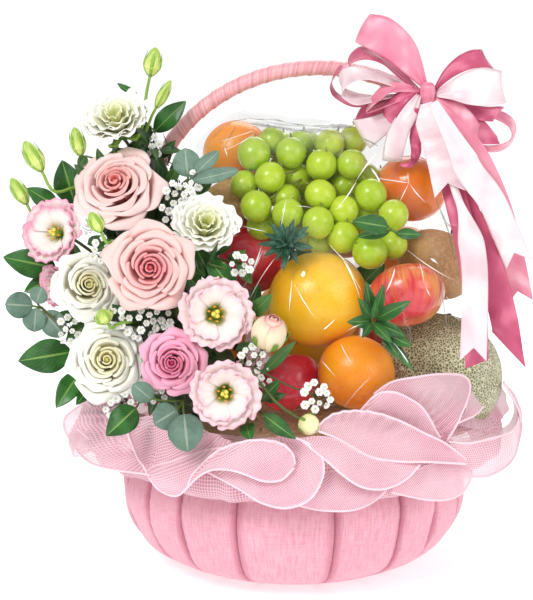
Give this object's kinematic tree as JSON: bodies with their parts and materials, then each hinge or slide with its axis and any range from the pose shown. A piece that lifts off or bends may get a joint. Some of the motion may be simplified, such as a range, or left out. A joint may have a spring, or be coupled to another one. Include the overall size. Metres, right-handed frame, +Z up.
{
  "type": "grape and rose basket",
  "caption": "Padded round gift basket with an arched handle, a ruffle, a ribbon bow, wrapped fruit and a spray of flowers.",
  "frame": {"origin": "centre of the basket's flat base, on the floor", "axes": "+Z up, front towards -Y, flowers at -X and the bow at +X as seen from the front"},
  "size_m": [0.5216, 0.453, 0.5409],
  "materials": {
    "apple_skin": "waxy skin",
    "basket_fabric": "matt woven",
    "bed": "dark fine foliage",
    "bud_green": "satin bud",
    "eucalyptus": "matt bluish leaf",
    "filling": "matt shredded paper",
    "film": "clear glossy film",
    "grape_skin": "smooth skin with bloom",
    "grapefruit_peel": "waxy dimpled peel",
    "handle_ribbon": "satin ribbon wrap",
    "leaf": "waxy leaf",
    "melon_rind": "dry netted rind",
    "orange_peel": "waxy dimpled peel",
    "pear_skin": "dry russet skin",
    "persimmon_skin": "waxy skin",
    "petal_blush": "soft petal",
    "petal_cream": "soft petal",
    "petal_edged": "soft petal",
    "petal_hot": "soft petal",
    "petal_salmon": "soft petal",
    "petal_white": "soft petal",
    "ribbon_pink": "satin",
    "ribbon_rose": "satin",
    "ribbon_white": "satin",
    "ruffle_mesh": "sheer mesh"
  },
  "bodies": {
    "root": {"apple_front": "apple_skin", "apple_left": "apple_skin", "apple_rear": "apple_skin", "apple_rear_left": "apple_skin", "apple_right": "apple_skin", "basket": "basket_fabric", "bow_knot": "ribbon_pink", "bow_pink": "ribbon_pink", "bow_rose": "ribbon_rose", "bow_white": "ribbon_white", "bud_between": "bud_green", "bud_cream": "petal_cream", "bud_far_left": "bud_green", "bud_far_left_low": "bud_green", "bud_left": "bud_green", "bud_round": "bud_green", "bud_top": "bud_green", "bud_top_narrow": "bud_green", "crown_leaves": "leaf", "eucalyptus_left": "eucalyptus", "eucalyptus_low": "eucalyptus", "eucalyptus_top": "eucalyptus", "filling": "filling", "film": "film", "flower_bed": "bed", "grapefruit": "grapefruit_peel", "grapefruit_rear": "grapefruit_peel", "grapes": "grape_skin", "handle": "handle_ribbon", "leaf_low": "leaf", "leaf_pair": "leaf", "leaf_spray_front": "leaf", "leaf_spray_left": "leaf", "leaf_spray_low_left": "leaf", "leaf_spray_side": "leaf", "leaf_spray_top": "leaf", "leaf_sprig": "leaf", "lisianthus_left": "petal_edged", "lisianthus_low": "petal_edged", "lisianthus_low_left": "petal_edged", "lisianthus_right": "petal_edged", "lisianthus_white_right": "petal_white", "lisianthus_white_top": "petal_white", "melon": "melon_rind", "orange_back": "orange_peel", "orange_front": "orange_peel", "orange_rear": "orange_peel", "orange_rear_right": "orange_peel", "pear_left": "pear_skin", "pear_rear": "pear_skin", "pear_right": "pear_skin", "persimmon": "persimmon_skin", "rose_blush": "petal_blush", "rose_hot_pink": "petal_hot", "rose_salmon": "petal_salmon", "rose_white_left": "petal_white", "rose_white_low": "petal_white", "rosebud_cream": "petal_cream", "ruffle": "ruffle_mesh"}
  },
  "joints": []
}
